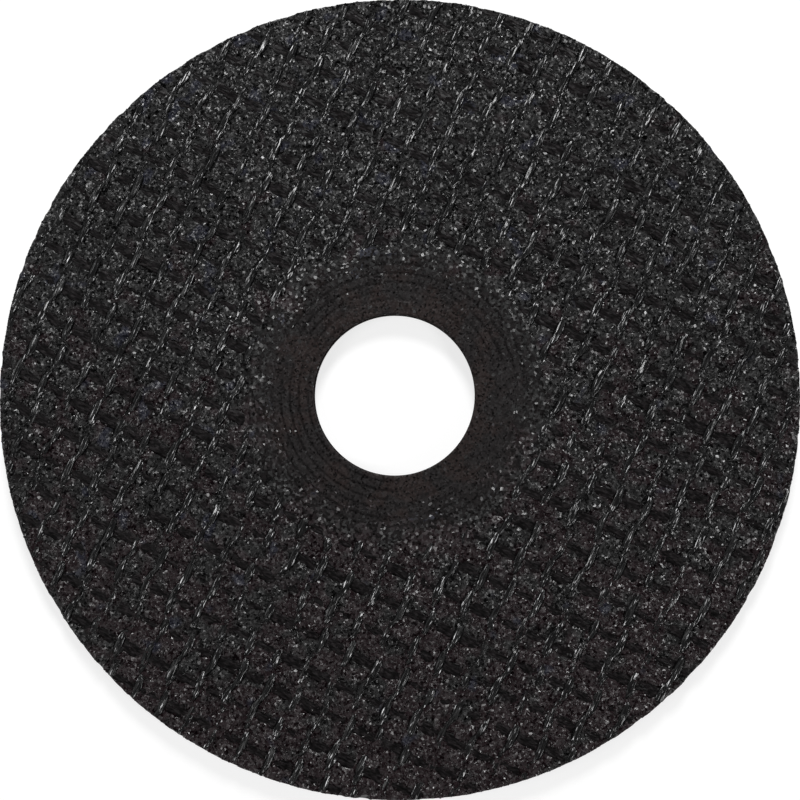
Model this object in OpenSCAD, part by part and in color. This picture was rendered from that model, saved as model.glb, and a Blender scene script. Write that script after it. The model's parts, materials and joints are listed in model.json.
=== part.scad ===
// Reinforced cut off wheel, moulded as one piece: black abrasive grain in resin, with a leno woven
// glass net pressed into each face and a smooth pressed hub round the arbor hole.
// The wheel lies flat on its back face. +Z is its axle and the middle of the hole is the origin.
// A leno net has twisted warp strands, which sway from side to side as they bind the straight wefts.

/* [Wheel] */
// Outside diameter of the wheel
wheel_d = 110; // [100:1:115]
// Thickness of the wheel over the hub and over the crests of both nets
wheel_t = 2.5; // [1.6:0.1:6]
// Diameter of the arbor hole
bore_d = 22.23; // [16:0.01:25.4]

/* [Hub] */
// Diameter of the smooth pressed zone round the hole
hub_d = 38; // [34:0.5:60]
// Height of the hub face over the root of the net at the hub's edge
hub_step = 0.08; // [0.04:0.01:0.2]
// Distance from the hole to the first pressed ring
ring_offset = 1.95; // [1:0.05:4]
// Distance from one pressed ring to the next
ring_pitch = 1.25; // [0.8:0.05:2.5]
// Width of each ring's groove at the face
ring_w = 0.4; // [0.2:0.05:0.6]
// Depth of each ring's groove
ring_depth = 0.06; // [0.02:0.01:0.15]

/* [Net] */
// Distance from warp strand to warp strand, square across them
warp_pitch = 4.12; // [3.9:0.01:6]
// Distance from weft to weft, square across them
weft_pitch = 4.38; // [4.1:0.01:6]
// Direction of the warp strands, from +X
warp_angle = 66; // [50:0.5:80]
// Direction of the wefts, from +X
weft_angle = -26.5; // [-40:0.5:-10]
// Place along X of the crossing nearest the middle of the wheel
net_x = 0.5; // [-2:0.1:2]
// Place along Y of the crossing nearest the middle of the wheel
net_y = 0.5; // [-2:0.1:2]
// How far a warp strand sways to each side where it binds a weft
strand_sway = 0.32; // [0.1:0.01:0.6]
// Width of a warp strand beside the grain pads
strand_w = 1.4; // [0.8:0.1:2]
// How far the wefts bow along the warps, from the middle of the wheel to its rim
weft_bow = 1.15; // [0:0.05:3]

/* [Relief] */
// Depth of a grain pad under the crests of the net
pad_depth = 0.16; // [0.05:0.01:0.25]
// Depth of a weft's slot under the crests of the net
slot_depth = 0.4; // [0.1:0.01:0.5]
// How far a warp strand dips between two wefts
strand_dip = 0.06; // [0:0.01:0.1]
// Width of the band outside the hub in which the net fades in
fade_w = 2.5; // [1:0.1:6]

/* [Hidden] */
rim_r = wheel_d / 2;
bore_r = bore_d / 2;
hub_r = hub_d / 2;
// Spare length of a cutter past a face, and of the net plate past the rim and under the hub
spare = 0.5;
round_fn = 240;
// Steps of the net along a weft, from strand to strand, and along a warp, from weft to weft
crossing = warp_angle - weft_angle;
warp_step = warp_pitch / sin(crossing);
weft_step = weft_pitch / sin(crossing);
along_warp = [cos(warp_angle), sin(warp_angle)];
along_weft = [cos(weft_angle), sin(weft_angle)];
// Strands, and half steps from weft to weft, on each side of the middle of the wheel
net_reach = rim_r + warp_step + weft_step;
strands = ceil(net_reach / warp_pitch);
half_rows = 2 * ceil(net_reach / weft_pitch);
// A weft row has 2 points a strand and a pad row has 3
strand_total = 2 * strands + 1;
row_pair_points = 5 * strand_total;
ring_r = [for (r = [bore_r + ring_offset : ring_pitch : hub_r - ring_w]) r];

// Even rows lie along the wefts and odd rows along the middles of the grain pads
function is_weft(row) = row % 2 == 0;

// Place in plan of a point that lies s along the weft and t along the warp from the net's middle
function in_plan(s, t) =
    [net_x, net_y] + s * along_weft + (t + weft_bow * pow(s / rim_r, 2)) * along_warp;

// Side to which the strands sway at a row, turn about from weft to weft
function sway(row) = !is_weft(row) ? 0 : row % 4 == 0 ? strand_sway : -strand_sway;

// Points of a row at one strand, each with its place along the weft and its depth
function row_profile(row) = is_weft(row)
    ? [[sway(row), 0], [sway(row) + warp_step / 2, slot_depth]]
    : [[0, strand_dip], [strand_w / 2, pad_depth], [warp_step - strand_w / 2, pad_depth]];

// Share of the net's relief at a place, from 0 at the hub to 1 outside the fading band
function fade(p) =
    let (f = min(1, max(0, (norm(p) - hub_r) / fade_w)))
    f * f * (3 - 2 * f);

// Point of the front net, with its depth under the front face as z
function net_point(strand, row, shape) =
    let (p = in_plan(strand * warp_step + shape[0], row / 2 * weft_step))
    [p[0], p[1], hub_step + (shape[1] - hub_step) * fade(p)];

net_points = [
    for (row = [-half_rows : half_rows])
    for (strand = [-strands : strands])
    for (shape = row_profile(row))
    net_point(strand, row, shape)
];

// Number of a point in the list above
function point_index(strand, row, n) =
    let (r = row + half_rows, s = strand + strands)
    floor(r / 2) * row_pair_points
        + (is_weft(row) ? s * 2 : strand_total * 2 + s * 3) + n;

// Points along a row from one strand to the next
function row_points(strand, row) = [
    for (n = [0 : is_weft(row) ? 1 : 2]) point_index(strand, row, n),
    point_index(strand + 1, row, 0)
];

// Distance from the axle of the strand's crest at a row
function crest_r(strand, row) =
    norm(in_plan(strand * warp_step + sway(row), row / 2 * weft_step));

// A cell lies between two strands and two rows, and is kept where it reaches the ring of net
function is_kept(strand, row) =
    let (radii = [for (s = [0, 1]) for (r = [0, 1]) crest_r(strand + s, row + r)])
    min(radii) < rim_r + spare && max(radii) > hub_r - spare;

cells = [
    for (row = [-half_rows : half_rows - 1])
    for (strand = [-strands : strands - 1])
    if (is_kept(strand, row)) [strand, row]
];

function flipped(loop) = [for (n = [len(loop) - 1 : -1 : 0]) loop[n]];

// Triangles of a cell between its weft row and its pad row
function cell_triangles(weft, pad) = [
    [weft[0], weft[1], pad[1]],
    [weft[0], pad[1], pad[0]],
    [weft[1], pad[2], pad[1]],
    [weft[1], weft[2], pad[2]],
    [weft[2], pad[3], pad[2]]
];

// Triangles of a cell on the front face, clockwise from outside
function front_triangles(cell) =
    let (near = row_points(cell[0], cell[1]), far = row_points(cell[0], cell[1] + 1))
    is_weft(cell[1])
        ? [for (t = cell_triangles(near, far)) flipped(t)]
        : cell_triangles(far, near);

// The four sides of a cell, each with the cell beyond it and its points in order
function cell_sides(cell) =
    let (near = row_points(cell[0], cell[1]), far = row_points(cell[0], cell[1] + 1))
    [
        [[cell[0], cell[1] - 1], near],
        [[cell[0] + 1, cell[1]], [near[len(near) - 1], far[len(far) - 1]]],
        [[cell[0], cell[1] + 1], flipped(far)],
        [[cell[0] - 1, cell[1]], [far[0], near[0]]]
    ];

front_faces = [for (cell = cells) each front_triangles(cell)];
back_faces = [for (face = front_faces) [for (n = flipped(face)) n + len(net_points)]];
// Walls round the outer and inner edges of the net plate, from the front net to the back net
edge_faces = [
    for (cell = cells)
    for (side = cell_sides(cell))
    if (!is_kept(side[0][0], side[0][1]))
    for (n = [0 : len(side[1]) - 2])
    let (a = side[1][n], b = side[1][n + 1], a_back = a + len(net_points), b_back = b + len(net_points))
    each [[b_back, a_back, a], [b_back, a, b]]
];

// Grain and resin between the two woven faces, before it is trimmed at the rim
module net_plate() {
    front = [for (p = net_points) [p[0], p[1], wheel_t - p[2]]];
    polyhedron(
        points = concat(front, net_points),
        faces = concat(front_faces, back_faces, edge_faces),
        convexity = 10
    );
}

// Smooth flat zone that the flanges of a machine clamp
module hub() {
    cylinder(r = hub_r, h = wheel_t, $fn = round_fn);
}

// Upright cylinder that runs past both faces, to trim the rim and to bore the arbor hole
module through_cylinder(r) {
    translate([0, 0, -spare])
        cylinder(r = r, h = wheel_t + 2 * spare, $fn = round_fn);
}

// Ring shaped cutter with a diamond section, half of it above the face
module ring_groove(r, face_z) {
    rotate_extrude($fn = round_fn)
        polygon([
            [r - ring_w / 2, face_z],
            [r, face_z - ring_depth],
            [r + ring_w / 2, face_z],
            [r, face_z + ring_depth]
        ]);
}

module wheel() {
    color([0.17, 0.165, 0.17])
        difference() {
            union() {
                intersection() {
                    net_plate();
                    through_cylinder(rim_r);
                }
                hub();
            }
            through_cylinder(bore_r);
            for (r = ring_r, face_z = [0, wheel_t])
                ring_groove(r, face_z);
        }
}

wheel();
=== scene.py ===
import json
import math

import bpy
import numpy as np
from mathutils import Matrix, Vector

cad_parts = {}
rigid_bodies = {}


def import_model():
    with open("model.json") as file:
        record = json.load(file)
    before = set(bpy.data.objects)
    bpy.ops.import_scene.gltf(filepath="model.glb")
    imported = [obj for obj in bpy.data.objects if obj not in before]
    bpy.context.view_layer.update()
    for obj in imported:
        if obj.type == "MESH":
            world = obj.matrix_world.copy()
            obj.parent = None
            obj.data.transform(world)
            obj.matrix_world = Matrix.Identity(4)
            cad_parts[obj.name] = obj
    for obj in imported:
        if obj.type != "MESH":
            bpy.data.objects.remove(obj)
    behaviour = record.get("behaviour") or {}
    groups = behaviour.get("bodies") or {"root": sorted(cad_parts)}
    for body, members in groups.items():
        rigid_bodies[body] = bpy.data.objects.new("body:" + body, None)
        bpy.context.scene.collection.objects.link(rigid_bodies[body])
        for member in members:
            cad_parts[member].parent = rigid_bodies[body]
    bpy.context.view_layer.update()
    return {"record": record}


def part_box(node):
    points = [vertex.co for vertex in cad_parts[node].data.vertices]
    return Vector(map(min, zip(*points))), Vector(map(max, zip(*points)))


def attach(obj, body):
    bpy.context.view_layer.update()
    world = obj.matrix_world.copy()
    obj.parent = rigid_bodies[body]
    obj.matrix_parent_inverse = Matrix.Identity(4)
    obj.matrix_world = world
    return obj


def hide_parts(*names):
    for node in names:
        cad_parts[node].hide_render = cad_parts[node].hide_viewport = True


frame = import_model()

mm = 0.001

# The wheel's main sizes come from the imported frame
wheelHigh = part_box("wheel")[1]
rimRadius = wheelHigh[0]
faceHeight = wheelHigh[2]
arborHole = next(mount for mount in frame["record"]["mounts"] if mount["name"] == "arbor_hole")
boreRadius = arborHole["dims"]["r_mm"] * mm
print("wheel radius %.1f mm, hole radius %.2f mm" % (rimRadius / mm, boreRadius / mm))

# Lay of the leno net: twisted warps that sway round straight wefts
net = {
    "warpPitch": 4.12 * mm,
    "weftPitch": 4.38 * mm,
    "warpAngle": math.radians(66),
    "weftAngle": math.radians(-26.5),
    "crossing": (0.5 * mm, 0.5 * mm),  # the crossing nearest the axle
    "sway": 0.32 * mm,
    "swayHold": 1.6,                   # above 1, a warp stays longer at its side of a weft
    "bow": 1.15 * mm,                  # of the wefts, from the axle to the rim
    "hubRadius": 19 * mm,
    "fadeWidth": 2.5 * mm,             # band outside the hub where the net comes up
}
netSine = math.sin(net["warpAngle"] - net["weftAngle"])
warpStep = net["warpPitch"] / netSine
weftStep = net["weftPitch"] / netSine
warpWay = np.array([math.cos(net["warpAngle"]), math.sin(net["warpAngle"])])
weftWay = np.array([math.cos(net["weftAngle"]), math.sin(net["weftAngle"])])

# Fine rings pressed into the hub
hubRings = {
    "offset": 1.95 * mm,  # from the hole to the first ring
    "pitch": 1.25 * mm,
    "width": 0.40 * mm,
    "depth": 0.06 * mm,
}


def smoothStep(low, high, value):
    share = np.clip((value - low) / (high - low), 0, 1)
    return share * share * (3 - 2 * share)


def planPlace(across, along):
    bowed = along + net["bow"] * (across / rimRadius) ** 2
    x = net["crossing"][0] + across * weftWay[0] + bowed * warpWay[0]
    y = net["crossing"][1] + across * weftWay[1] + bowed * warpWay[1]
    return x, y


def netPlace(x, y):
    dx = x - net["crossing"][0]
    dy = y - net["crossing"][1]
    across = (dx * warpWay[1] - dy * warpWay[0]) / netSine
    bowed = (weftWay[0] * dy - weftWay[1] * dx) / netSine
    return across, bowed - net["bow"] * (across / rimRadius) ** 2


def swayAt(along):
    return net["sway"] * np.clip(net["swayHold"] * np.cos(math.pi * along / weftStep), -1, 1)


def netShare(x, y):
    return smoothStep(net["hubRadius"], net["hubRadius"] + net["fadeWidth"], np.hypot(x, y))


def fromNearest(value, step):
    return np.abs(value / step - np.round(value / step))


# Node helpers: a socket given as a value is linked, anything else is set
def addNode(tree, kind, settings=None, inputs=None):
    node = tree.nodes.new(kind)
    for name, value in (settings or {}).items():
        setattr(node, name, value)
    for key, value in (inputs or {}).items():
        if isinstance(value, bpy.types.NodeSocket):
            tree.links.new(value, node.inputs[key])
        else:
            node.inputs[key].default_value = value
    return node


def addMath(tree, operation, first, second, third=0.0):
    inputs = {0: first, 1: second, 2: third}
    return addNode(tree, "ShaderNodeMath", {"operation": operation}, inputs).outputs[0]


def addVector(tree, operation, first, second=(0, 0, 0)):
    return addNode(tree, "ShaderNodeVectorMath", {"operation": operation}, {0: first, 1: second})


def addAxleDistance(tree, place):
    flat = addVector(tree, "MULTIPLY", place, (1, 1, 0)).outputs[0]
    return addVector(tree, "LENGTH", flat).outputs["Value"]


def addRamp(tree, factor, stops):
    node = addNode(tree, "ShaderNodeValToRGB", None, {"Fac": factor})
    ramp = node.color_ramp
    while len(ramp.elements) < len(stops):
        ramp.elements.new(0.5)
    for element, (place, colour) in zip(ramp.elements, stops):
        element.position = place
        element.color = (*colour, 1)
    return node.outputs["Color"]


def addMix(tree, factor, first, second):
    node = addNode(tree, "ShaderNodeMix", {"data_type": "RGBA"})
    for key, value in ((0, factor), (6, first), (7, second)):
        if isinstance(value, bpy.types.NodeSocket):
            tree.links.new(value, node.inputs[key])
        else:
            node.inputs[key].default_value = value if key == 0 else (*value, 1)
    return node.outputs[2]


def addNoise(tree, place, size, detail):
    inputs = {"Vector": place, "Scale": 1 / size, "Detail": detail}
    return addNode(tree, "ShaderNodeTexNoise", None, inputs).outputs["Fac"]


def newMaterial(name):
    material = bpy.data.materials.new(name)
    material.use_nodes = True
    tree = material.node_tree
    shader = tree.nodes["Principled BSDF"]
    place = addNode(tree, "ShaderNodeTexCoord").outputs["Object"]
    return material, tree, shader, place


def addBump(tree, shader, height, strength, distance, facing):
    inputs = {"Height": height, "Strength": strength, "Distance": distance, "Normal": facing}
    bump = addNode(tree, "ShaderNodeBump", None, inputs)
    tree.links.new(bump.outputs["Normal"], shader.inputs["Normal"])


# Each crystal of grain leans its own way, so the facets glint one by one
def addCells(tree, place, size):
    cells = addNode(tree, "ShaderNodeTexVoronoi", None, {"Vector": place, "Scale": 1 / size})
    colour = cells.outputs["Color"]
    return colour, addNode(tree, "ShaderNodeSeparateColor", None, {0: colour}).outputs


def addLean(tree, normal, colour, amount):
    centred = addVector(tree, "SUBTRACT", colour, (0.5, 0.5, 0.5)).outputs[0]
    scaled = addNode(tree, "ShaderNodeVectorMath", {"operation": "SCALE"}, {0: centred, "Scale": amount})
    total = addVector(tree, "ADD", scaled.outputs[0], normal).outputs[0]
    return addVector(tree, "NORMALIZE", total).outputs[0]


def addRange(tree, value, fromLow, fromHigh, toLow, toHigh):
    return addNode(tree, "ShaderNodeMapRange", {"interpolation_type": "SMOOTHSTEP"},
                   {0: value, 1: fromLow, 2: fromHigh, 3: toLow, 4: toHigh}).outputs[0]


def addBlend(tree, factor, first, second):
    return addNode(tree, "ShaderNodeMix", {"data_type": "FLOAT"}, {0: factor, 2: first, 3: second}).outputs[0]


# Black abrasive in resin: glossy dark grains, some brown or blue
grainFinish = {
    "black": (0.0035, 0.0035, 0.0036),
    "grey": (0.019, 0.0188, 0.019),
    "greyFrom": 0.2,             # share of grains that stay black
    "brown": (0.0130, 0.0068, 0.0082),
    "brownPatch": (0.47, 0.64),  # where in the patches brown starts and is full
    "brownMost": 0.95,
    "paintedWarmLow": 0.20,            # painted warm light: how much more brown there is low on the face
    "blue": (0.018, 0.019, 0.029),
    "bluePatch": (0.70, 0.80),
    "blueMost": 0.9,
    "paintedCoolHigh": 0.03,            # painted cool light: how much more blue there is high on its left
    "patchSize": 3.5 * mm,
    "bluePatchSize": 3.0 * mm,
    "roughness": (0.15, 0.44),
    "shine": 0.44,
    "facet": 0.37 * mm,
    "lean": 1.3,
    "bump": 0.02 * mm,
    "bumpSize": 0.16 * mm,
    "bumpStrength": 0.5,
}

# The hub's smooth skin: greyer and browner, with fine specks, pits and painted shade in the pressed rings'
# grooves
hubFinish = {
    "pit": (0.0015, 0.0013, 0.0013),
    "pitTo": 0.5,                    # share of the specks that are pits
    "pitMost": 0.9,
    "black": (0.0176, 0.0157, 0.0160),
    "brown": (0.0258, 0.0184, 0.0172),
    "brownPatch": (0.52, 0.68),
    "brownMost": 0.7,
    "stain": 0.16,                   # extra brown at the hole
    "stainReach": 6 * mm,
    "roughness": 0.50,
    "shine": (0.02, 0.22),
    "ringShadeTone": 0.5,
    "ringEdge": (0.02, 0.24),        # painted shade in a ring's groove, from its middle line, as shares of the pitch
    "ringFadePatch": (0.42, 0.62),       # where the painted shade of the rings fades out
    "ringFadeSize": 9 * mm,
    "speck": 0.25 * mm,
    "lean": 0.34,
    "edge": (17.2 * mm, 25.5 * mm),  # radii where grain starts and is full, before the edge wanders
    "wander": 5 * mm,
    "bareLeast": 0.035,              # share of grains that break through the skin
    "edgePits": 0.55,
    "bump": 0.06 * mm,
}


def makeGrainMaterial():
    material, tree, shader, place = newMaterial("abrasiveGrain")
    radius = addAxleDistance(tree, place)
    axes = addNode(tree, "ShaderNodeSeparateXYZ", None, {0: place}).outputs
    patch = addNoise(tree, place, grainFinish["patchSize"], 1.5)
    grains, grainTones = addCells(tree, place, grainFinish["facet"])
    specks, speckTones = addCells(tree, place, hubFinish["speck"])
    # painted shade, stored on the body's points: 1 where fully lit, lower beside the warps and 0 on the bore
    # wall
    openness = addNode(tree, "ShaderNodeAttribute", {"attribute_name": "openness"}).outputs["Fac"]
    # the hub's edge wanders with the patches, and near it each grain is either bare or under the skin
    wandering = addMath(tree, "MULTIPLY_ADD", patch, hubFinish["wander"], radius)
    bare = addRange(tree, wandering, *hubFinish["edge"], hubFinish["bareLeast"], 1.0)
    coarse = addMath(tree, "GREATER_THAN", bare, grainTones["Blue"])
    smooth = addMath(tree, "SUBTRACT", 1.0, coarse)
    # grain colours: brown and blue patches, with painted warm light drawing brown low on the face and painted
    # cool light drawing blue high on its left
    # painted shade: grains beside the warps and on the bore wall are made darker
    tone = addMath(tree, "MULTIPLY", grainTones["Red"], openness)
    base = addRamp(tree, tone, [(grainFinish["greyFrom"], grainFinish["black"]), (1.0, grainFinish["grey"])])
    low = addMath(tree, "MULTIPLY_ADD", axes["Y"], -grainFinish["paintedWarmLow"] / rimRadius, patch)
    brown = addRange(tree, low, *grainFinish["brownPatch"], 0.0, grainFinish["brownMost"])
    base = addMix(tree, brown, base, grainFinish["brown"])
    upLeft = addMath(tree, "SUBTRACT", axes["Y"], axes["X"])
    bluePatch = addNoise(tree, place, grainFinish["bluePatchSize"], 0)
    high = addMath(tree, "MULTIPLY_ADD", upLeft, grainFinish["paintedCoolHigh"] / rimRadius, bluePatch)
    blue = addRange(tree, high, *grainFinish["bluePatch"], 0.0, grainFinish["blueMost"])
    base = addMix(tree, blue, base, grainFinish["blue"])
    # hub colours: brown stain at the hole, pits, and painted shade in the pressed rings' grooves, which fades
    # out in patches
    stain = addRange(tree, radius, boreRadius, boreRadius + hubFinish["stainReach"], hubFinish["stain"], 0.0)
    stained = addMath(tree, "ADD", patch, stain)
    warm = addRange(tree, stained, *hubFinish["brownPatch"], 0.0, hubFinish["brownMost"])
    hub = addMix(tree, warm, hubFinish["black"], hubFinish["brown"])
    pits = addRange(tree, speckTones["Blue"], 0.0, hubFinish["pitTo"], hubFinish["pitMost"], 0.0)
    hub = addMix(tree, pits, hub, hubFinish["pit"])
    pitted = addMath(tree, "MULTIPLY", bare, hubFinish["edgePits"])
    hub = addMix(tree, pitted, hub, hubFinish["pit"])
    fromRing = addMath(tree, "SUBTRACT", radius, boreRadius + hubRings["offset"])
    fromRing = addMath(tree, "PINGPONG", addMath(tree, "DIVIDE", fromRing, hubRings["pitch"]), 0.5)
    # painted shade: the grooves of the pressed rings are made darker and less glossy
    ring = addRange(tree, fromRing, *hubFinish["ringEdge"], hubFinish["ringShadeTone"], 1.0)
    ringFadePatch = addNoise(tree, place, hubFinish["ringFadeSize"], 1)
    shadeFaded = addRange(tree, ringFadePatch, *hubFinish["ringFadePatch"], hubFinish["ringShadeTone"], 1.0)
    ring = addMath(tree, "MAXIMUM", ring, shadeFaded)
    hub = addMix(tree, ring, hubFinish["pit"], hub)
    tree.links.new(addMix(tree, coarse, hub, base), shader.inputs["Base Color"])
    # gloss, dulled in the edge pits and in the painted shade of the rings' grooves, and lowered by the
    # painted shade beside the warps; on the bore wall the painted shade takes it away entirely
    rough = addRange(tree, grainTones["Green"], 0.0, 1.0, *grainFinish["roughness"])
    rough = addBlend(tree, coarse, hubFinish["roughness"], rough)
    tree.links.new(rough, shader.inputs["Roughness"])
    shine = addMath(tree, "MULTIPLY", ring, addRange(tree, speckTones["Red"], 0.0, 1.0, *hubFinish["shine"]))
    shine = addMath(tree, "MULTIPLY", shine, addMath(tree, "SUBTRACT", 1.0, pitted))
    shine = addMath(tree, "MULTIPLY", openness, addBlend(tree, coarse, shine, grainFinish["shine"]))
    tree.links.new(shine, shader.inputs["Specular IOR Level"])
    # facets
    facing = addNode(tree, "ShaderNodeNewGeometry").outputs["Normal"]
    facing = addLean(tree, facing, grains, addMath(tree, "MULTIPLY", coarse, grainFinish["lean"]))
    facing = addLean(tree, facing, specks, addMath(tree, "MULTIPLY", smooth, hubFinish["lean"]))
    bump = addBlend(tree, coarse, hubFinish["bump"], grainFinish["bump"])
    fine = addNoise(tree, place, grainFinish["bumpSize"], 2)
    addBump(tree, shader, fine, grainFinish["bumpStrength"], bump, facing)
    return material


# Glass yarn in resin: filaments show as fine lines along the yarn; the warps' near-white filament colour is a
# painted glint
warpFinish = {
    "resin": (0.004, 0.004, 0.0042),
    "glass": (0.014, 0.014, 0.0145),
    # painted glint: the filament streaks are the yarn's own texture, but this near-white colour stands in for
    # their highlights
    "bright": (0.90, 0.90, 0.91),
    "stops": (0.52, 0.63, 0.725),
    "roughness": 0.24,
    "filament": 0.15 * mm,
    "filamentLength": 1.5 * mm,
    "lean": 0.9,
    "shine": 0.30,
    "bump": 0.03 * mm,
    "bumpStrength": 0.8,
}
weftFinish = {
    "resin": (0.0008, 0.0007, 0.0007),
    "glass": (0.0047, 0.0037, 0.0040),
    "bright": (0.0205, 0.0180, 0.0188),
    "stops": (0.36, 0.52, 0.72),
    "roughness": 0.45,
    "shine": 0.10,
    "filament": 0.22 * mm,
    "filamentLength": 0.7 * mm,
    "lean": 0.6,
    "bump": 0.04 * mm,
    "bumpStrength": 0.8,
}


def makeYarnMaterial(name, finish, angle):
    material, tree, shader, place = newMaterial(name)
    turned = addNode(tree, "ShaderNodeVectorRotate", {"rotation_type": "Z_AXIS"},
                     {"Vector": place, "Angle": -angle}).outputs[0]
    squeeze = (1 / finish["filamentLength"], 1 / finish["filament"], 1 / finish["filament"])
    drawn = addVector(tree, "MULTIPLY", turned, squeeze).outputs[0]
    streak = addNoise(tree, drawn, 1.0, 2)
    colours = [finish["resin"], finish["glass"], finish["bright"]]
    base = addRamp(tree, streak, list(zip(finish["stops"], colours)))
    tree.links.new(base, shader.inputs["Base Color"])
    shader.inputs["Roughness"].default_value = finish["roughness"]
    shader.inputs["Specular IOR Level"].default_value = finish["shine"]
    facing = addNode(tree, "ShaderNodeNewGeometry").outputs["Normal"]
    facing = addLean(tree, facing, addCells(tree, drawn, 1.0)[0], finish["lean"])
    addBump(tree, shader, streak, finish["bumpStrength"], finish["bump"], facing)
    return material


grainMaterial = makeGrainMaterial()
warpMaterial = makeYarnMaterial("warpYarn", warpFinish, net["warpAngle"])
weftMaterial = makeYarnMaterial("weftYarn", weftFinish, net["weftAngle"])
print("materials ready")


# The pressed body: one closed lathe of rings, out over the front, down the rim and back in
body = {
    "netSpacing": 0.5 * mm,                # from point to point on the faces
    "looseness": 0.36,                     # how far points stray, as a share of the spacing
    "padDepth": 0.24 * mm,
    "slotDepth": 0.56 * mm,
    "slotHalf": (1.08 * mm, 1.90 * mm),    # half width and half length of the bare slot over a weft
    "slotPower": 2.4,                      # 2 makes it an oval, and more makes it squarer
    "slotEdge": (0.55, 1.20),              # where its wall starts and ends, as shares of its size
    "slotVary": 0.70,                      # how much narrower some slots are
    "slotGrain": 0.38,                     # share of grain that strays into the slots
    "slotJitter": 0.25,                    # share of the jitter that is left in them
    "fray": 0.42,                          # how ragged their edges are, as a share of their size
    "frayLength": 0.75 * mm,
    "frayMix": (12.9898, 78.233, 43758.5453),  # any uneven numbers, which mix a place into chance
    "gutterReach": (0.4 * mm, 1.15 * mm),  # low ground beside a warp, from its middle line
    "gutterDepth": 0.08 * mm,
    "gutterPaintedShade": 0.32,                   # painted shade: how much darker and less glossy the grain is made there
    "jitter": 0.10 * mm,
    "grainFrom": 0.4,                      # grain starts this many fade widths outside the hub
    "grainWidth": 1.5,                     # and is full after this many more
    "smoothTo": 0.2,                       # smooth shading ends this many fade widths outside the hub
    "ringSteps": 6,                        # rows of points to each pressed ring
    "rimRoughness": 0.05 * mm,             # of the rim's two edges
    "wallRoughness": 0.15 * mm,            # of the rim between them
    "wallRows": 5,
    "seed": 7,
}


def chanceAt(column, row):
    # a steady chance number for each place of a grid
    perColumn, perRow, spread = body["frayMix"]
    number = np.sin(column * perColumn + row * perRow) * spread
    return number - np.floor(number)


def raggedAt(x, y):
    # smooth chance from -1 to 1, for edges that grain has frayed
    column = np.floor(x / body["frayLength"])
    row = np.floor(y / body["frayLength"])
    right = smoothStep(0, 1, x / body["frayLength"] - column)
    up = smoothStep(0, 1, y / body["frayLength"] - row)
    low = chanceAt(column, row) * (1 - right) + chanceAt(column + 1, row) * right
    high = chanceAt(column, row + 1) * (1 - right) + chanceAt(column + 1, row + 1) * right
    return 2 * (low * (1 - up) + high * up) - 1


def strandAndWeft(x, y):
    across, along = netPlace(x, y)
    return (across - swayAt(along)) / warpStep, along / weftStep


def padShare(x, y):
    # 0 in the slots where the wefts lie bare and 1 on the grain round them
    strand, weft = strandAndWeft(x, y)
    size = 1 - body["slotVary"] * chanceAt(np.floor(strand), np.round(weft))
    halfWidth, halfLength = body["slotHalf"]
    outAlong = np.abs(strand - np.floor(strand) - 0.5) * net["warpPitch"] / (halfLength * np.sqrt(size))
    outAcross = np.abs(weft - np.round(weft)) * net["weftPitch"] / (halfWidth * size)
    out = (outAlong ** body["slotPower"] + outAcross ** body["slotPower"]) ** (1 / body["slotPower"])
    return smoothStep(*body["slotEdge"], out + body["fray"] * raggedAt(x, y))


def gutterShare(x, y):
    fromWarp = fromNearest(strandAndWeft(x, y)[0], 1) * net["warpPitch"]
    return netShare(x, y) * (1 - smoothStep(*body["gutterReach"], fromWarp))


def hubDepth(x, y):
    radius = np.hypot(x, y)
    pitch = hubRings["pitch"]
    fromRing = fromNearest(radius - boreRadius - hubRings["offset"], pitch) * pitch
    groove = np.clip(1 - 2 * fromRing / hubRings["width"], 0, 1)
    inBand = radius > boreRadius + hubRings["offset"] - pitch / 2
    return hubRings["depth"] * groove * inBand


def faceDepth(x, y, chance):
    pads = padShare(x, y)
    share = netShare(x, y)
    woven = body["slotDepth"] + (body["padDepth"] - body["slotDepth"]) * pads
    woven = woven + body["gutterDepth"] * gutterShare(x, y) * pads
    moved = body["slotJitter"] + (1 - body["slotJitter"]) * pads
    woven = woven + body["jitter"] * moved * chance.uniform(-1, 1, len(x))
    return hubDepth(x, y) * (1 - share) + woven * share


def ringAngles(radius, spacing):
    count = int(round(2 * math.pi * radius / spacing))
    return 2 * math.pi * np.arange(count) / count


def faceRings(chance, front):
    hubRows = body["ringSteps"] * int(round((net["hubRadius"] - boreRadius) / hubRings["pitch"]))
    netRows = int(round((rimRadius - net["hubRadius"]) / body["netSpacing"]))
    radii = np.concatenate([
        np.linspace(boreRadius, net["hubRadius"], hubRows, endpoint=False),
        np.linspace(net["hubRadius"], rimRadius, netRows + 1),
    ])
    rings = []
    for radius in radii:
        angles = ringAngles(radius, body["netSpacing"])
        loose = body["looseness"] * body["netSpacing"] * float(netShare(radius, 0.0)) * (radius < rimRadius)
        r = radius + loose * chance.uniform(-1, 1, len(angles))
        if radius == radii[-1]:
            r = r - body["rimRoughness"] * chance.uniform(0, 1, len(angles)) ** 2
        a = angles + loose / radius * chance.uniform(-1, 1, len(angles))
        x = r * np.cos(a)
        y = r * np.sin(a)
        depth = faceDepth(x, y, chance)
        z = faceHeight - depth if front else depth
        rings.append(np.stack([x, y, z], 1))
    return rings if front else rings[::-1]


def wallRings(top, bottom, roughness, chance):
    # rows between two rings of one wall, each point pushed a little into the body
    rings = []
    for row in range(1, body["wallRows"]):
        points = top + (bottom - top) * row / body["wallRows"]
        middle = np.hypot(points[:, 0], points[:, 1])
        scale = 1 - roughness / middle * chance.uniform(0, 1, len(points))
        rings.append(points * np.stack([scale, scale, np.ones(len(points))], 1))
    return rings


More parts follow.
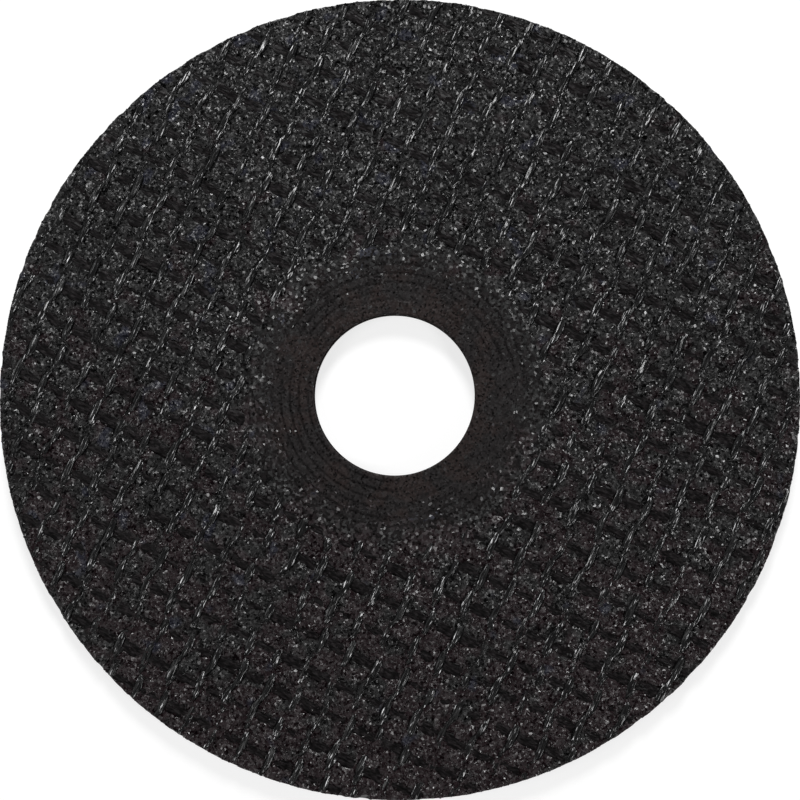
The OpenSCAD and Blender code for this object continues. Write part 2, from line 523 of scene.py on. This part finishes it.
def stitchRings(firstStart, firstCount, secondStart, secondCount):
    faces = []
    i = 0
    j = 0
    while i < firstCount or j < secondCount:
        first = firstStart + i % firstCount
        second = secondStart + j % secondCount
        stepFirst = j >= secondCount or (i < firstCount and (i + 1) / firstCount < (j + 1) / secondCount)
        if stepFirst:
            i += 1
            faces.append((first, second, firstStart + i % firstCount))
        else:
            j += 1
            faces.append((first, second, secondStart + j % secondCount))
    return faces


def setPointValues(mesh, name, values):
    mesh.attributes.new(name, "FLOAT", "POINT").data.foreach_set("value", values.astype(np.float32))


def makeBody():
    chance = np.random.default_rng(body["seed"])
    front = faceRings(chance, True)
    back = faceRings(chance, False)
    rim = wallRings(front[-1], back[0], body["wallRoughness"], chance)
    bore = wallRings(back[-1], front[0], 0.0, chance)
    rings = front + rim + back + bore
    starts = np.cumsum([0] + [len(ring) for ring in rings])
    points = np.concatenate(rings)
    faces = []
    for n in range(len(rings)):
        following = (n + 1) % len(rings)
        faces += stitchRings(starts[n], len(rings[n]), starts[following], len(rings[following]))
    mesh = bpy.data.meshes.new("abrasiveBody")
    mesh.from_pydata(points.tolist(), [], faces)
    zone = np.repeat(np.arange(len(rings)), [len(ring) for ring in rings])
    rimStart = len(front)
    backStart = rimStart + len(rim)
    boreStart = backStart + len(back)
    onFront = zone < rimStart
    onRim = (zone >= rimStart) & (zone < backStart)
    onBack = (zone >= backStart) & (zone < boreStart)
    x = points[:, 0]
    y = points[:, 1]
    radius = np.hypot(x, y)
    grainEdge = net["hubRadius"] + body["grainFrom"] * net["fadeWidth"]
    share = smoothStep(grainEdge, grainEdge + body["grainWidth"] * net["fadeWidth"], radius)
    share = share * np.maximum(padShare(x, y), body["slotGrain"])
    setPointValues(mesh, "frontShare", share * onFront)
    setPointValues(mesh, "backShare", share * onBack)
    setPointValues(mesh, "rimShare", onRim)
    # painted shade: grain beside each warp is made darker and less glossy, and the bore wall is painted dark,
    # without gloss
    openness = 1 - body["gutterPaintedShade"] * gutterShare(x, y)
    setPointValues(mesh, "openness", openness * (zone < boreStart))
    smoothEdge = net["hubRadius"] + body["smoothTo"] * net["fadeWidth"]
    smooth = radius[np.array(faces)].max(1) < smoothEdge
    mesh.polygons.foreach_set("use_smooth", smooth)
    mesh.materials.append(grainMaterial)
    piece = bpy.data.objects.new("abrasiveBody", mesh)
    bpy.context.collection.objects.link(piece)
    return piece


# Geometry Nodes helpers
def newTree(name, sockets):
    tree = bpy.data.node_groups.new(name, "GeometryNodeTree")
    tree.interface.new_socket("Geometry", in_out="INPUT", socket_type="NodeSocketGeometry")
    for label, kind in sockets:
        tree.interface.new_socket(label, in_out="INPUT", socket_type=kind)
    tree.interface.new_socket("Geometry", in_out="OUTPUT", socket_type="NodeSocketGeometry")
    source = tree.nodes.new("NodeGroupInput").outputs
    result = tree.nodes.new("NodeGroupOutput").inputs[0]
    return tree, source, result


def bakeTree(tree, startMesh, name, values):
    carrier = bpy.data.objects.new(name + "Source", startMesh)
    bpy.context.collection.objects.link(carrier)
    modifier = carrier.modifiers.new(tree.name, "NODES")
    modifier.node_group = tree
    for item in tree.interface.items_tree:
        if item.in_out == "INPUT" and item.name in values:
            modifier[item.identifier] = values[item.name]
    graph = bpy.context.evaluated_depsgraph_get()
    mesh = bpy.data.meshes.new_from_object(carrier.evaluated_get(graph))
    carrier.modifiers.clear()
    bpy.data.objects.remove(carrier)
    mesh.name = name
    piece = bpy.data.objects.new(name, mesh)
    bpy.context.collection.objects.link(piece)
    print("%s: %d triangles" % (name, sum(len(face.vertices) - 2 for face in mesh.polygons)))
    return piece


# Every point is pressed inside the faces and the rim
def addPress(tree, source, geometry):
    place = addNode(tree, "GeometryNodeInputPosition").outputs[0]
    axes = addNode(tree, "ShaderNodeSeparateXYZ", None, {0: place}).outputs
    level = addNode(tree, "ShaderNodeClamp", None,
                    {"Value": axes["Z"], "Min": source["Lowest"], "Max": source["Highest"]}).outputs[0]
    radius = addAxleDistance(tree, place)
    pull = addMath(tree, "MINIMUM", addMath(tree, "DIVIDE", source["Widest"], radius), 1.0)
    inside = addNode(tree, "ShaderNodeCombineXYZ", None, {
        0: addMath(tree, "MULTIPLY", axes["X"], pull),
        1: addMath(tree, "MULTIPLY", axes["Y"], pull),
        2: level,
    })
    return addNode(tree, "GeometryNodeSetPosition", None,
                   {"Geometry": geometry, "Position": inside.outputs[0]}).outputs[0]


# Loose crystals of grain, scattered on the pads and the rim and pressed level with the face
grain = {
    "spacing": 0.389 * mm,
    "density": 1.2e7,      # most crystals to a square metre
    "smallest": 0.15 * mm,
    "largest": 0.30 * mm,
    "ragged": 0.07 * mm,   # how far a crystal's corners stray
    "seed": 11,
}
faceGap = 0.01 * mm  # crystals and yarns stop this far inside the faces and the rim
pressLimits = {"Lowest": faceGap, "Highest": faceHeight - faceGap, "Widest": rimRadius - faceGap}


def makeGrainTree():
    tree, source, result = newTree("grainScatter", [
        ("Share", "NodeSocketString"),
        ("Spacing", "NodeSocketFloat"),
        ("Density", "NodeSocketFloat"),
        ("Smallest", "NodeSocketFloat"),
        ("Largest", "NodeSocketFloat"),
        ("Ragged", "NodeSocketFloat"),
        ("Lowest", "NodeSocketFloat"),
        ("Highest", "NodeSocketFloat"),
        ("Widest", "NodeSocketFloat"),
        ("Seed", "NodeSocketInt"),
        ("Material", "NodeSocketMaterial"),
    ])
    share = addNode(tree, "GeometryNodeInputNamedAttribute", {"data_type": "FLOAT"},
                    {"Name": source["Share"]})
    points = addNode(tree, "GeometryNodeDistributePointsOnFaces", {"distribute_method": "POISSON"}, {
        "Mesh": source["Geometry"],
        "Distance Min": source["Spacing"],
        "Density Max": source["Density"],
        "Density Factor": share.outputs["Attribute"],
        "Seed": source["Seed"],
    })
    # crystals have eight faces, and each crystal its own turn and proportions
    crystal = addNode(tree, "GeometryNodeMeshUVSphere", None, {"Segments": 4, "Rings": 2, "Radius": 1.0})
    turn = addNode(tree, "FunctionNodeRandomValue", {"data_type": "FLOAT_VECTOR"},
                   {0: (0, 0, 0), 1: (math.tau, math.tau, math.tau), "Seed": source["Seed"]})
    low = addNode(tree, "ShaderNodeCombineXYZ", None, {n: source["Smallest"] for n in range(3)})
    high = addNode(tree, "ShaderNodeCombineXYZ", None, {n: source["Largest"] for n in range(3)})
    size = addNode(tree, "FunctionNodeRandomValue", {"data_type": "FLOAT_VECTOR"},
                   {0: low.outputs[0], 1: high.outputs[0], "Seed": source["Seed"]})
    crystals = addNode(tree, "GeometryNodeInstanceOnPoints", None, {
        "Points": points.outputs["Points"],
        "Instance": crystal.outputs["Mesh"],
        "Rotation": turn.outputs[0],
        "Scale": size.outputs[0],
    })
    real = addNode(tree, "GeometryNodeRealizeInstances", None, {0: crystals.outputs[0]})
    reach = addNode(tree, "ShaderNodeCombineXYZ", None, {n: source["Ragged"] for n in range(3)})
    back = addNode(tree, "ShaderNodeVectorMath", {"operation": "SCALE"}, {0: reach.outputs[0], "Scale": -1.0})
    shift = addNode(tree, "FunctionNodeRandomValue", {"data_type": "FLOAT_VECTOR"},
                    {0: back.outputs[0], 1: reach.outputs[0], "Seed": source["Seed"]})
    ragged = addNode(tree, "GeometryNodeSetPosition", None,
                     {"Geometry": real.outputs[0], "Offset": shift.outputs[0]})
    pressed = addPress(tree, source, ragged.outputs[0])
    flat = addNode(tree, "GeometryNodeSetShadeSmooth", None, {"Geometry": pressed, "Shade Smooth": False})
    finished = addNode(tree, "GeometryNodeSetMaterial", None,
                       {"Geometry": flat.outputs[0], "Material": source["Material"]})
    tree.links.new(finished.outputs[0], result)
    return tree


def makeGrain(tree, bodyMesh, name, share, seed):
    return bakeTree(tree, bodyMesh, name, {
        "Share": share,
        "Spacing": grain["spacing"],
        "Density": grain["density"],
        "Smallest": grain["smallest"],
        "Largest": grain["largest"],
        "Ragged": grain["ragged"],
        **pressLimits,
        "Seed": seed,
        "Material": grainMaterial,
    })


# Yarns of the net: routes along the lattice, swept with a flattened round section
yarn = {
    "sides": 6,
    "flatness": 0.36,        # thickness over width
    "crestGap": 0.02 * mm,   # from the face to the top of a float
    "floatHalf": 0.60 * mm,  # half width of a warp where it floats over a weft
    "tuckHalf": 0.30 * mm,   # half width between two wefts
    "tuckPower": 2,          # more keeps it wide for longer
    "floatDive": 0.60 * mm,  # how deep the float tucks under the straight end
    "floatDip": 0.06 * mm,   # and how deep it dips where it goes over it
    "divePower": 6,          # more makes the dive shorter and steeper
    "standHalf": 0.30 * mm,  # half width of the straight end
    "standDive": 0.50 * mm,
    "standPeak": 0.67,       # where in the gap it comes up over the float, as a share of the gap
    "standSpread": 0.32,     # and how long it stays up, as a share of the gap to each side
    "sinkMost": 0.36 * mm,   # extra depth where resin and grain bury the warps
    "sinkLength": 1.7 * mm,
    "seed": 21,
    "weftHalf": 1.15 * mm,
    "weftFlatness": 0.12,
    "weftDepth": 0.36 * mm,  # from the face to the top of a weft
    "stepsPerWeft": 10,
    "stepsPerWarp": 4,
    "hubSink": 0.45 * mm,    # the hub covers the net this deep
    "hubGap": 1.0 * mm,      # and the yarn ends this far inside it
    "rimGap": 0.15 * mm,
    "spare": 2,              # yarns tried past the rim on each side
    "fewest": (4, 3),        # points that make a warp or a weft worth keeping
}


def warpReach(across):
    bow = net["bow"] * (across / rimRadius) ** 2
    foot = np.array(planPlace(across, -bow))
    middle = -foot @ warpWay
    square = middle ** 2 - foot @ foot + (rimRadius - yarn["rimGap"]) ** 2
    if square <= 0:
        return None
    return middle - bow - math.sqrt(square), middle - bow + math.sqrt(square)


def sunkAlong(chance, along):
    # the resin buries the yarn more in some places than in others
    knots = np.arange(along[0], along[-1] + yarn["sinkLength"], yarn["sinkLength"])
    return np.interp(along, knots, yarn["sinkMost"] * chance.uniform(0, 1, len(knots)) ** 2)


def warpRoutes():
    # a float that goes over every weft, left and right in turn, and a straight end that ties it down
    chance = np.random.default_rng(yarn["seed"])
    routes = []
    reach = int(rimRadius / warpStep) + yarn["spare"]
    for index in range(-reach, reach + 1):
        across = index * warpStep
        ends = warpReach(across)
        if ends is None:
            continue
        count = max(yarn["fewest"][0], int((ends[1] - ends[0]) / weftStep * yarn["stepsPerWeft"]))
        along = np.linspace(ends[0], ends[1], count)
        fromWeft = 2 * fromNearest(along, weftStep)
        sway = swayAt(along)
        # the float goes under the straight end in every second gap and over it in the others
        pair = along / (2 * weftStep)
        phase = 2 * (pair - np.floor(pair))
        tucked = phase < 1
        half = yarn["floatHalf"] + (yarn["tuckHalf"] - yarn["floatHalf"]) * fromWeft ** yarn["tuckPower"]
        dive = np.where(tucked, yarn["floatDive"], yarn["floatDip"])
        sunk = sunkAlong(chance, along)
        depth = yarn["crestGap"] + half * yarn["flatness"] + dive * fromWeft ** yarn["divePower"] + sunk
        routes.append((*planPlace(across + sway, along), depth, half))
        half = np.full(count, yarn["standHalf"])
        rise = np.clip(1 - ((phase - yarn["standPeak"]) / yarn["standSpread"]) ** 2, 0, 1)
        depth = yarn["crestGap"] + half * yarn["flatness"] + yarn["standDive"] * (1 - rise) + sunk
        crossed = along - (yarn["standPeak"] - 0.5) * weftStep
        routes.append((*planPlace(across - swayAt(crossed), along), depth, half))
    return routes


def weftRoutes():
    routes = []
    reach = int(rimRadius / weftStep) + yarn["spare"]
    across = np.arange(-rimRadius, rimRadius, warpStep / yarn["stepsPerWarp"])
    for index in range(-reach, reach + 1):
        x, y = planPlace(across, np.full(len(across), index * weftStep))
        inside = np.hypot(x, y) < rimRadius - yarn["rimGap"]
        if inside.sum() < yarn["fewest"][1]:
            continue
        half = np.full(inside.sum(), yarn["weftHalf"])
        depth = yarn["weftDepth"] + half * yarn["weftFlatness"]
        routes.append((x[inside], y[inside], depth, half))
    return routes


def routeMesh(name, routes, front):
    points = []
    halves = []
    edges = []
    first = 0
    for x, y, depth, half in routes:
        sunk = depth + yarn["hubSink"] * (1 - netShare(x, y))
        z = faceHeight - sunk if front else sunk
        # the yarn stops where the hub has covered it
        kept = np.hypot(x, y) > net["hubRadius"] - yarn["hubGap"]
        joined = np.flatnonzero(kept[:-1] & kept[1:])
        number = first + np.cumsum(kept) - 1
        points.append(np.stack([x, y, z], 1)[kept])
        halves.append(half[kept])
        edges += [(int(number[n]), int(number[n + 1])) for n in joined]
        first += int(kept.sum())
    mesh = bpy.data.meshes.new(name)
    mesh.from_pydata(np.concatenate(points).tolist(), edges, [])
    setPointValues(mesh, "yarnHalf", np.concatenate(halves))
    return mesh


def makeYarnTree():
    tree, source, result = newTree("yarnSweep", [
        ("Sides", "NodeSocketInt"),
        ("Flatness", "NodeSocketFloat"),
        ("Lowest", "NodeSocketFloat"),
        ("Highest", "NodeSocketFloat"),
        ("Widest", "NodeSocketFloat"),
        ("Material", "NodeSocketMaterial"),
    ])
    curve = addNode(tree, "GeometryNodeMeshToCurve", None, {"Mesh": source["Geometry"]})
    upright = addNode(tree, "GeometryNodeSetCurveNormal", {"mode": "Z_UP"}, {"Curve": curve.outputs[0]})
    half = addNode(tree, "GeometryNodeInputNamedAttribute", {"data_type": "FLOAT"}, {"Name": "yarnHalf"})
    section = addNode(tree, "GeometryNodeCurvePrimitiveCircle", None,
                      {"Resolution": source["Sides"], "Radius": 1.0})
    stretch = addNode(tree, "ShaderNodeCombineXYZ", None, {0: 1.0, 1: source["Flatness"], 2: 1.0})
    flattened = addNode(tree, "GeometryNodeTransform", None,
                        {"Geometry": section.outputs[0], "Scale": stretch.outputs[0]})
    swept = addNode(tree, "GeometryNodeCurveToMesh", None, {
        "Curve": upright.outputs[0],
        "Profile Curve": flattened.outputs[0],
        "Scale": half.outputs["Attribute"],
        "Fill Caps": True,
    })
    pressed = addPress(tree, source, swept.outputs[0])
    smooth = addNode(tree, "GeometryNodeSetShadeSmooth", None, {"Geometry": pressed, "Shade Smooth": True})
    real = addNode(tree, "GeometryNodeRealizeInstances", None, {0: smooth.outputs[0]})
    finished = addNode(tree, "GeometryNodeSetMaterial", None,
                       {"Geometry": real.outputs[0], "Material": source["Material"]})
    tree.links.new(finished.outputs[0], result)
    return tree


def makeYarn(tree, name, routes, front, flatness, material):
    return bakeTree(tree, routeMesh(name + "Routes", routes, front), name, {
        "Sides": yarn["sides"],
        "Flatness": flatness,
        **pressLimits,
        "Material": material,
    })


bodyPiece = makeBody()
print("body: %d triangles" % len(bodyPiece.data.polygons))
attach(bodyPiece, "root")
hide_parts("wheel")

grainTree = makeGrainTree()
yarnTree = makeYarnTree()
pieces = [
    makeGrain(grainTree, bodyPiece.data, "frontGrain", "frontShare", grain["seed"]),
    makeGrain(grainTree, bodyPiece.data, "backGrain", "backShare", grain["seed"] + 1),
    makeGrain(grainTree, bodyPiece.data, "rimGrain", "rimShare", grain["seed"] + 2),
    makeYarn(yarnTree, "frontWarps", warpRoutes(), True, yarn["flatness"], warpMaterial),
    makeYarn(yarnTree, "backWarps", warpRoutes(), False, yarn["flatness"], warpMaterial),
    makeYarn(yarnTree, "frontWefts", weftRoutes(), True, yarn["weftFlatness"], weftMaterial),
    makeYarn(yarnTree, "backWefts", weftRoutes(), False, yarn["weftFlatness"], weftMaterial),
]
for piece in pieces:
    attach(piece, "root")
print("pieces ready")


# Studio: pale floor, white surroundings low down and three soft lamps
studio = {
    "floorRadius": 1.2,
    "floorSides": 96,
    "floorRoughness": 0.9,
    "floorGap": 0.02 * mm,          # so that the floor and the hub's back don't share a plane
    "floorColour": (0.34, 0.34, 0.34),
    "floorGlow": (0.72, 1.0),       # as the camera sees it, under the wheel and far off
    "glowReach": (0.07, 0.30),
    "ambient": 0.15,
    "ceilingHeight": (0.05, 0.80),  # between these the surroundings darken, as gloss shows them
    "ceilingLevel": (1.0, 0.03),
    "key": {"place": (0.01, 0.33, 0.24), "size": 0.13, "power": 1.57},     # over the top
    "fill": {"place": (-0.20, -0.03, 0.25), "size": 0.16, "power": 0.20},  # on the left
    "low": {"place": (0.27, -0.16, 0.20), "size": 0.10, "power": 0.40},    # on the right, square to the warps
}


def makeFloor():
    bpy.ops.mesh.primitive_circle_add(
        vertices=studio["floorSides"], radius=studio["floorRadius"], fill_type="NGON")
    floor = bpy.context.object
    floor.name = "floor"
    floor.location.z = -studio["floorGap"]
    material, tree, shader, place = newMaterial("floorPaper")
    shader.inputs["Base Color"].default_value = (*studio["floorColour"], 1)
    shader.inputs["Roughness"].default_value = studio["floorRoughness"]
    light = addNode(tree, "ShaderNodeLightPath").outputs
    seen = addMath(tree, "MAXIMUM", light["Is Camera Ray"], light["Is Glossy Ray"])
    seen = addMath(tree, "MAXIMUM", seen, light["Is Transmission Ray"])
    away = addVector(tree, "LENGTH", place).outputs["Value"]
    glow = addRange(tree, away, *studio["glowReach"], *studio["floorGlow"])
    tree.links.new(addMath(tree, "MULTIPLY", seen, glow), shader.inputs["Emission Strength"])
    shader.inputs["Emission Color"].default_value = (1, 1, 1, 1)
    floor.data.materials.append(material)


def makeWorld():
    world = bpy.data.worlds.new("studioWorld")
    world.use_nodes = True
    bpy.context.scene.world = world
    tree = world.node_tree
    background = tree.nodes["Background"]
    direction = addNode(tree, "ShaderNodeTexCoord").outputs["Generated"]
    height = addNode(tree, "ShaderNodeSeparateXYZ", None, {0: direction}).outputs["Z"]
    ceiling = addRange(tree, height, *studio["ceilingHeight"], *studio["ceilingLevel"])
    light = addNode(tree, "ShaderNodeLightPath").outputs
    mirrored = addMath(tree, "MAXIMUM", light["Is Glossy Ray"], light["Is Transmission Ray"])
    mirrored = addMath(tree, "MULTIPLY", mirrored, ceiling)
    seen = addMath(tree, "MAXIMUM", light["Is Camera Ray"], mirrored)
    tree.links.new(addMath(tree, "MAXIMUM", seen, studio["ambient"]), background.inputs["Strength"])
    background.inputs["Color"].default_value = (1, 1, 1, 1)


def makeLamp(name):
    lamp = studio[name]
    light = bpy.data.lights.new(name + "Lamp", "AREA")
    light.shape = "DISK"
    light.size = lamp["size"]
    light.energy = lamp["power"]
    holder = bpy.data.objects.new(name + "Lamp", light)
    holder.location = lamp["place"]
    holder.rotation_euler = (-Vector(lamp["place"])).to_track_quat("-Z", "Y").to_euler()
    bpy.context.collection.objects.link(holder)


makeFloor()
makeWorld()
for lampName in ("key", "fill", "low"):
    makeLamp(lampName)
bpy.context.scene.view_settings.view_transform = "Standard"

# Camera almost straight above, a little nearer the lower right of the wheel
view = {
    "distance": 155 * mm,
    "tilt": math.radians(3.25),
    "turn": math.radians(-40.3),
    "aim": (0.86 * mm, -0.72 * mm),  # middle of the rim as the picture shows it
    "rimPixels": 401.6,
    "imagePixels": 800,
    "sensor": 36,
    "clipStart": 5 * mm,
}


def makeCamera():
    camera = bpy.data.cameras.new("camera")
    camera.sensor_width = view["sensor"]
    rimShare = view["rimPixels"] / view["imagePixels"]
    camera.lens = view["sensor"] * rimShare * view["distance"] / rimRadius
    camera.clip_start = view["clipStart"]
    holder = bpy.data.objects.new("camera", camera)
    back = Vector((
        math.sin(view["tilt"]) * math.cos(view["turn"]),
        math.sin(view["tilt"]) * math.sin(view["turn"]),
        math.cos(view["tilt"]),
    ))
    right = Vector((0, 1, 0)).cross(back).normalized()
    up = back.cross(right)
    turned = Matrix((right, up, back)).transposed().to_4x4()
    turned.translation = Vector((*view["aim"], faceHeight)) + back * view["distance"]
    holder.matrix_world = turned
    bpy.context.collection.objects.link(holder)
    bpy.context.scene.camera = holder


makeCamera()
print("studio ready")
